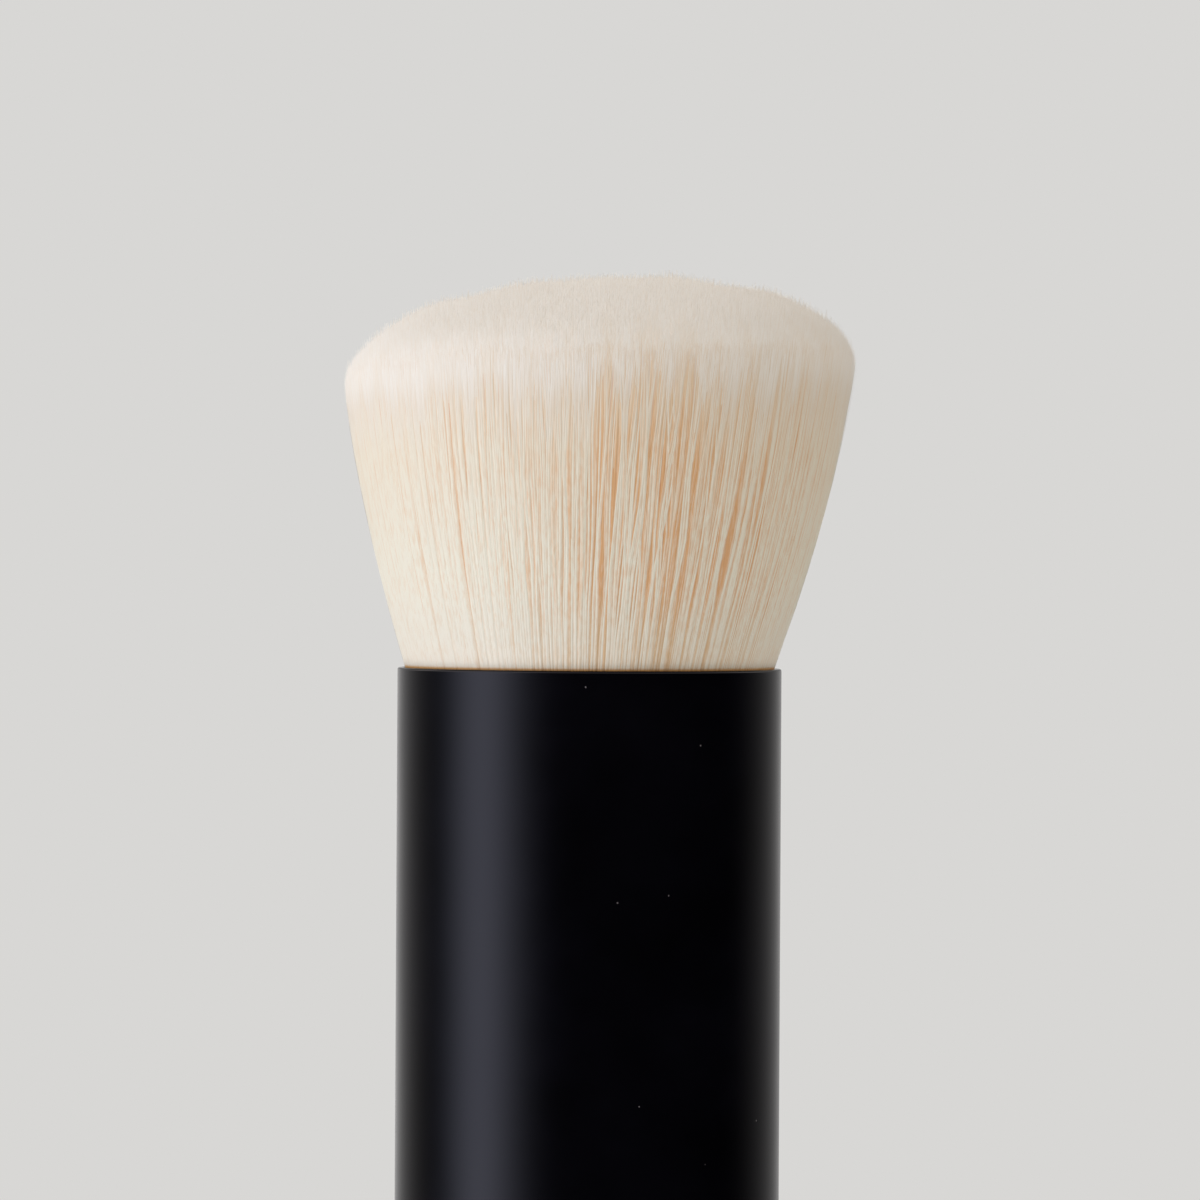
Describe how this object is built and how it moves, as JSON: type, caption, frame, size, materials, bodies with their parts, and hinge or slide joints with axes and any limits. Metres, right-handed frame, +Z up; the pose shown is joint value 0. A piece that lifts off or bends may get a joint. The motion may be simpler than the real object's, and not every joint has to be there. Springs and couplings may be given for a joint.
{
  "type": "makeup brush",
  "caption": "Short round makeup brush: a dense flared bristle head with a soft dome on a plain matte black tube handle that stands upright on its weighted foot.",
  "frame": {"origin": "centre of the underside, on the surface that the brush stands on", "axes": "+Z up the barrel to the head, +X to the right and +Y away from the viewer in the picture's view"},
  "size_m": [0.0324, 0.0323, 0.097],
  "materials": {
    "black_tube": "matte black anodised, drawn tube",
    "filament": "soft ivory synthetic filament, tapered tips",
    "knot_resin": "cast clear amber resin",
    "binding_thread": "tight cotton thread",
    "socket_glue": "set glue",
    "moulded_core": "moulded, as it left the tool",
    "foam_pad": "closed-cell foam",
    "steel_weight": "turned steel",
    "moulded_black": "fine spark texture",
    "adhesive_film": "double-sided adhesive film",
    "black_inlay": "blank, matte black, fine radial lay"
  },
  "bodies": {
    "root": {"barrel_shell": "black_tube", "bristles": "filament", "knot_resin": "knot_resin", "knot_thread": "binding_thread", "socket_glue": "socket_glue", "socket_cup": "moulded_core", "core_tube": "moulded_core", "upper_pad": "foam_pad", "weight_slug": "steel_weight", "lower_pad": "foam_pad", "base_plug": "moulded_black", "base_tape": "adhesive_film", "base_disc": "black_inlay"}
  },
  "joints": []
}
